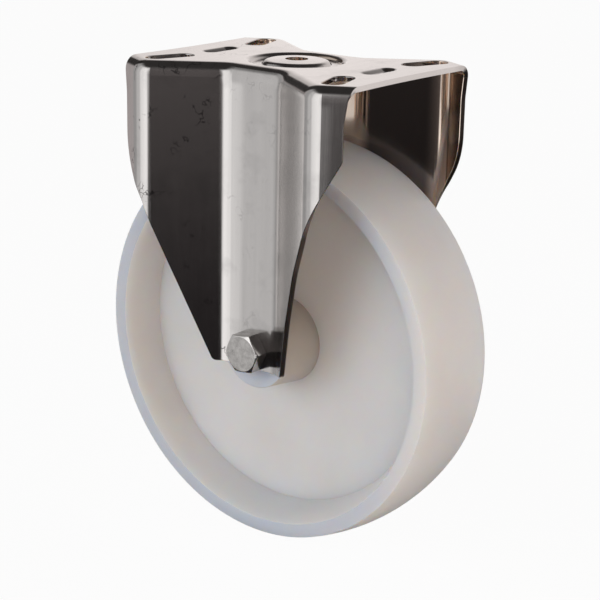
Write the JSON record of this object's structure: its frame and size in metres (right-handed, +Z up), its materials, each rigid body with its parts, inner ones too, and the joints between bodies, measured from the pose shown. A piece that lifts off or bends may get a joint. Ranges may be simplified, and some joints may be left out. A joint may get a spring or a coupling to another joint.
{
  "type": "fixed castor",
  "caption": "Fixed castor: solid nylon wheel on an axle bolt and tube, held between the flared legs of a pressed stainless steel bracket with a slotted top plate.",
  "frame": {"origin": "centre of the bracket's top mounting face, in the middle of the centre hole", "axes": "+Z up, out of the mounting face; Y along the axle, the bolt head at -Y; X the rolling direction"},
  "size_m": [0.2, 0.1094, 0.2374],
  "materials": {
    "pressed_stainless": "bright cold-rolled stainless sheet with drawing marks",
    "natural_nylon": "satin cast nylon, natural white",
    "drawn_stainless": "drawn tube, fine length-wise lines",
    "bolt_stainless": "cold-forged and tumbled, dull bright",
    "insert_nylon": "moulded nylon ring"
  },
  "bodies": {
    "fork": {"bracket": "pressed_stainless", "axle_tube": "drawn_stainless", "axle_bolt": "bolt_stainless", "lock_nut": "bolt_stainless", "nut_insert": "insert_nylon"},
    "wheel": {"wheel": "natural_nylon"}
  },
  "joints": [
    {"name": "wheel_spin", "type": "hinge", "parent": "fork", "child": "wheel", "pos_m": [0, 0, -0.137], "axis": [0, 1, 0], "continuous": true}
  ]
}
